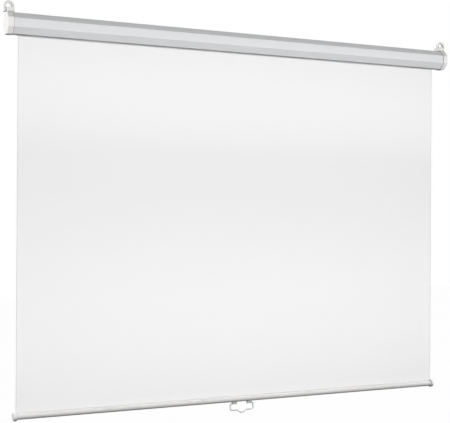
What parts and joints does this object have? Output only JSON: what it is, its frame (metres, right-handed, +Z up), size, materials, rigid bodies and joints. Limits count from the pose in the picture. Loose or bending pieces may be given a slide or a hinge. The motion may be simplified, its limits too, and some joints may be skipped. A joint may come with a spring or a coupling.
{
  "type": "pull-down projector screen",
  "caption": "Manual pull-down projection screen: octagonal housing with a sprung roller, hanging eyes, matte white cloth, round bottom bar and a swinging pull handle.",
  "frame": {"origin": "middle of the housing's flat back face, which goes against the wall", "axes": "+X along the housing, +Y out of the back of the housing into the wall, +Z up; viewers look along +Y at the cloth"},
  "size_m": [1.695, 0.07, 1.3566],
  "materials": {
    "case_paint": "satin white",
    "cap_plastic": "satin white",
    "hanger_plastic": "satin off-white",
    "bar_paint": "satin warm white",
    "bar_cap_plastic": "satin light grey",
    "handle_plastic": "satin pale grey",
    "screen_cloth": "matte white",
    "roller_steel": "zinc plated",
    "spring_steel": "oiled spring wire",
    "screw_steel": "zinc plated",
    "plug_plastic": "dark grey nylon",
    "hem_plastic": "grey rod"
  },
  "bodies": {
    "case": {"housing_case": "case_paint", "end_cap_left": "cap_plastic", "end_cap_right": "cap_plastic", "hanger_left": "hanger_plastic", "hanger_right": "hanger_plastic", "hanger_screw_left": "screw_steel", "hanger_screw_right": "screw_steel", "cap_screw_left": "screw_steel", "cap_screw_right": "screw_steel", "idle_bush": "plug_plastic", "spring_rod": "roller_steel", "ratchet_wheel": "roller_steel", "spring_anchor": "plug_plastic"},
    "roller": {"roller_tube": "roller_steel", "fabric_wraps": "screen_cloth", "idle_plug": "plug_plastic", "spring_plug": "plug_plastic", "torsion_spring": "spring_steel", "pawl_pin_a": "screw_steel", "pawl_pin_b": "screw_steel"},
    "pawl_over": {"pawl_a": "roller_steel"},
    "pawl_under": {"pawl_b": "roller_steel"},
    "bar": {"screen_fabric": "screen_cloth", "bottom_tube": "bar_paint", "hem_rod": "hem_plastic", "bar_cap_left": "bar_cap_plastic", "bar_cap_right": "bar_cap_plastic", "handle_bracket_left": "handle_plastic", "handle_bracket_right": "handle_plastic", "bracket_screw_left": "screw_steel", "bracket_screw_right": "screw_steel"},
    "handle": {"pull_handle": "handle_plastic"}
  },
  "joints": [
    {"name": "bar_slide", "type": "slide", "parent": "case", "child": "bar", "axis": [0, 0, 1], "range_m": [0, 1.1845], "deforming": ["screen_fabric"]},
    {"name": "roller_turn", "type": "hinge", "parent": "case", "child": "roller", "pos_m": [0, -0.0401, 0], "axis": [1, 0, 0], "range_deg": [0, 3600]},
    {"name": "pawl_over_hinge", "type": "hinge", "parent": "roller", "child": "pawl_over", "pos_m": [-0.8088, -0.0491, 0.011], "axis": [1, 0, 0], "range_deg": [-18, 0]},
    {"name": "pawl_under_hinge", "type": "hinge", "parent": "roller", "child": "pawl_under", "pos_m": [-0.8088, -0.0311, -0.011], "axis": [1, 0, 0], "range_deg": [-18, 0]},
    {"name": "handle_swing", "type": "hinge", "parent": "bar", "child": "handle", "pos_m": [-0.005, -0.0225, -1.25], "axis": [1, 0, 0], "range_deg": [-90, 90]}
  ],
  "couplings": [
    {"joint": "roller_turn", "follows": "bar_slide", "rad_per_m": 53.045}
  ]
}
